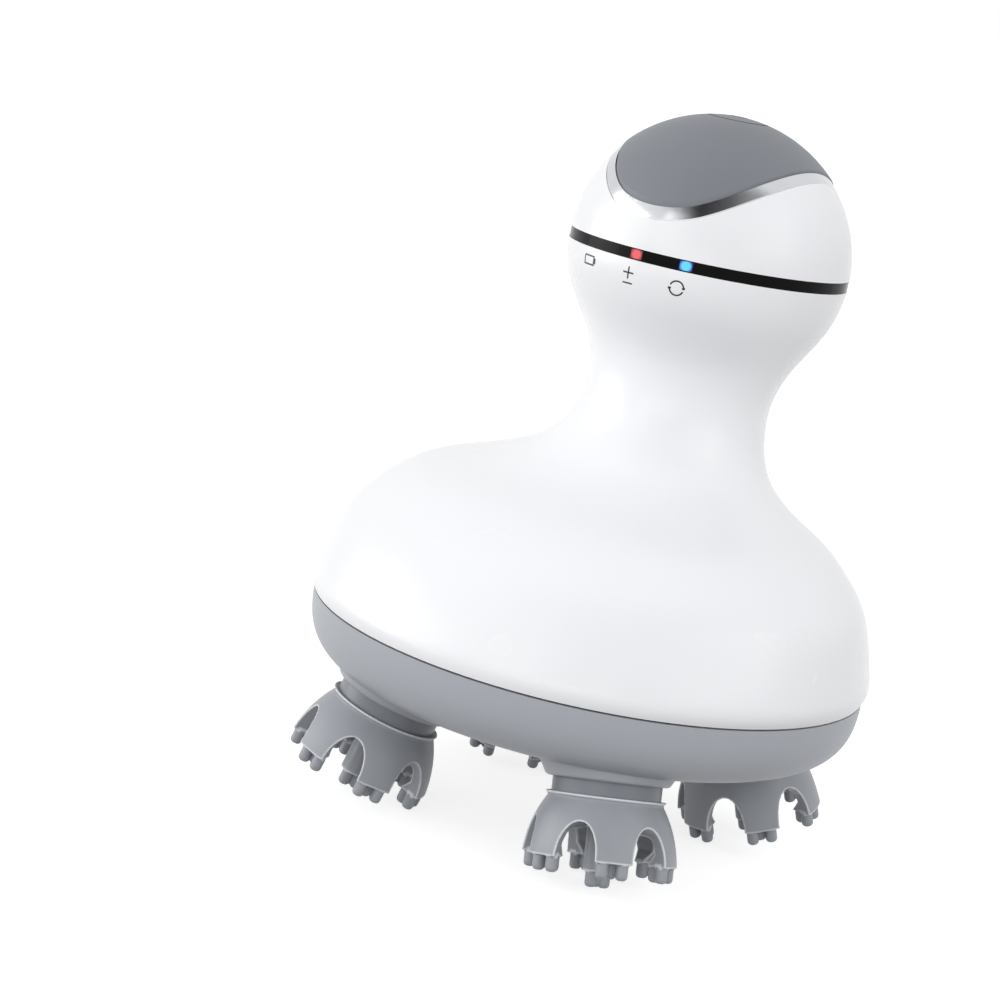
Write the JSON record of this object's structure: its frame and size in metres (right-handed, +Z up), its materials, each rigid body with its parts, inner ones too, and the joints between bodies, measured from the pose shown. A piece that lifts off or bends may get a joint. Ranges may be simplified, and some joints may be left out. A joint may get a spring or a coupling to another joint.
{
  "type": "electric scalp massager",
  "caption": "Cordless scalp massager: an hourglass body on a broad base, with turning, sprung silicone finger heads below and a push button on top.",
  "frame": {"origin": "on the floor under the centre of the base, in the middle of the heads", "axes": "+Z up through the base, -Y towards the front with the charge lights, +X to the right seen from the front"},
  "size_m": [0.118, 0.1047, 0.1464],
  "materials": {
    "white_shell": "smooth white ABS, glossy",
    "grey_base": "light grey ABS, satin",
    "grey_silicone": "light grey silicone rubber, satin",
    "soft_pad": "grey soft-touch rubber",
    "silver_trim": "electroplated ABS, satin silver",
    "dark_band": "smoked dark plastic, glossy",
    "red_lens": "translucent red acrylic",
    "blue_lens": "translucent blue acrylic",
    "hub_plastic": "light grey acetal",
    "seal_rubber": "dark silicone seal",
    "screw_steel": "zinc-plated steel",
    "shaft_steel": "ground steel",
    "spring_steel": "spring wire",
    "gear_acetal": "natural acetal",
    "bush_bronze": "sintered bronze",
    "chassis_nylon": "black glass-filled nylon",
    "bracket_steel": "plated sheet steel",
    "motor_steel": "drawn steel can",
    "terminal_brass": "tinned brass",
    "cell_sleeve": "shrink sleeve over a steel can",
    "board_green": "glass-epoxy circuit board",
    "chip_black": "moulded black epoxy",
    "led_clear": "clear epoxy",
    "contact_black": "black nylon",
    "contact_gold": "gold-plated brass",
    "lead_sleeve": "red silicone sleeve"
  },
  "bodies": {
    "housing": {"base_housing": "grey_base", "body_shell": "white_shell", "case_seal": "seal_rubber", "case_screws": "screw_steel", "neck_seals": "seal_rubber", "chassis_plate": "chassis_nylon", "spindle_bushes": "bush_bronze", "drive_bush": "bush_bronze", "motor_bracket": "bracket_steel", "bracket_screws": "screw_steel", "gearbox_can": "bracket_steel", "motor_can": "motor_steel", "motor_terminals": "terminal_brass", "light_band": "dark_band", "red_light_guide": "red_lens", "blue_light_guide": "blue_lens", "crown_shell": "white_shell", "crown_trim": "silver_trim", "crown_pad": "soft_pad", "pad_carrier": "chassis_nylon", "power_switch": "chip_black", "switch_board": "board_green", "battery_cell": "cell_sleeve", "battery_tabs": "terminal_brass", "battery_cradle": "chassis_nylon", "control_board": "board_green", "board_chips": "chip_black", "indicator_leds": "led_clear", "contact_block": "contact_black", "charge_contacts": "contact_gold", "motor_leads": "lead_sleeve"},
    "drive": {"drive_shaft": "shaft_steel", "sun_gear": "gear_acetal", "drive_clip": "screw_steel"},
    "front_left_shaft": {"front_left_gear": "gear_acetal", "front_left_spindle": "shaft_steel", "front_left_clips": "screw_steel", "front_left_spring": "spring_steel"},
    "front_left_plunger": {"front_left_hub": "hub_plastic", "front_left_head": "grey_silicone"},
    "front_right_shaft": {"front_right_gear": "gear_acetal", "front_right_spindle": "shaft_steel", "front_right_clips": "screw_steel", "front_right_spring": "spring_steel"},
    "front_right_plunger": {"front_right_hub": "hub_plastic", "front_right_head": "grey_silicone"},
    "back_left_shaft": {"back_left_gear": "gear_acetal", "back_left_spindle": "shaft_steel", "back_left_clips": "screw_steel", "back_left_spring": "spring_steel"},
    "back_left_plunger": {"back_left_hub": "hub_plastic", "back_left_head": "grey_silicone"},
    "back_right_shaft": {"back_right_gear": "gear_acetal", "back_right_spindle": "shaft_steel", "back_right_clips": "screw_steel", "back_right_spring": "spring_steel"},
    "back_right_plunger": {"back_right_hub": "hub_plastic", "back_right_head": "grey_silicone"},
    "button": {"power_button": "soft_pad"}
  },
  "joints": [
    {"name": "drive_spin", "type": "hinge", "parent": "housing", "child": "drive", "pos_m": [0, 0, 0.045], "axis": [0, 0, 1], "continuous": true},
    {"name": "front_left_spin", "type": "hinge", "parent": "housing", "child": "front_left_shaft", "pos_m": [-0.0268, -0.0268, 0.01859], "axis": [0.2126, 0.2126, 0.9537], "continuous": true},
    {"name": "front_left_push", "type": "slide", "parent": "front_left_shaft", "child": "front_left_plunger", "axis": [0.2126, 0.2126, 0.9537], "range_m": [0, 0.0024], "stiffness_N_per_m": 800, "springref_m": -0.004, "deforming": ["front_left_spring"]},
    {"name": "front_right_spin", "type": "hinge", "parent": "housing", "child": "front_right_shaft", "pos_m": [0.0268, -0.0268, 0.01859], "axis": [-0.2126, 0.2126, 0.9537], "continuous": true},
    {"name": "front_right_push", "type": "slide", "parent": "front_right_shaft", "child": "front_right_plunger", "axis": [-0.2126, 0.2126, 0.9537], "range_m": [0, 0.0024], "stiffness_N_per_m": 800, "springref_m": -0.004, "deforming": ["front_right_spring"]},
    {"name": "back_left_spin", "type": "hinge", "parent": "housing", "child": "back_left_shaft", "pos_m": [-0.0268, 0.0268, 0.01859], "axis": [0.2126, -0.2126, 0.9537], "continuous": true},
    {"name": "back_left_push", "type": "slide", "parent": "back_left_shaft", "child": "back_left_plunger", "axis": [0.2126, -0.2126, 0.9537], "range_m": [0, 0.0024], "stiffness_N_per_m": 800, "springref_m": -0.004, "deforming": ["back_left_spring"]},
    {"name": "back_right_spin", "type": "hinge", "parent": "housing", "child": "back_right_shaft", "pos_m": [0.0268, 0.0268, 0.01859], "axis": [-0.2126, -0.2126, 0.9537], "continuous": true},
    {"name": "back_right_push", "type": "slide", "parent": "back_right_shaft", "child": "back_right_plunger", "axis": [-0.2126, -0.2126, 0.9537], "range_m": [0, 0.0024], "stiffness_N_per_m": 800, "springref_m": -0.004, "deforming": ["back_right_spring"]},
    {"name": "button_press", "type": "slide", "parent": "housing", "child": "button", "axis": [0, -0.0262, -0.9997], "range_m": [0, 0.0008], "stiffness_N_per_m": 1200, "springref_m": -0.0004}
  ],
  "couplings": [
    {"joint": "front_left_spin", "follows": "drive_spin", "ratio": -0.875},
    {"joint": "front_right_spin", "follows": "drive_spin", "ratio": -0.875},
    {"joint": "back_left_spin", "follows": "drive_spin", "ratio": -0.875},
    {"joint": "back_right_spin", "follows": "drive_spin", "ratio": -0.875}
  ]
}
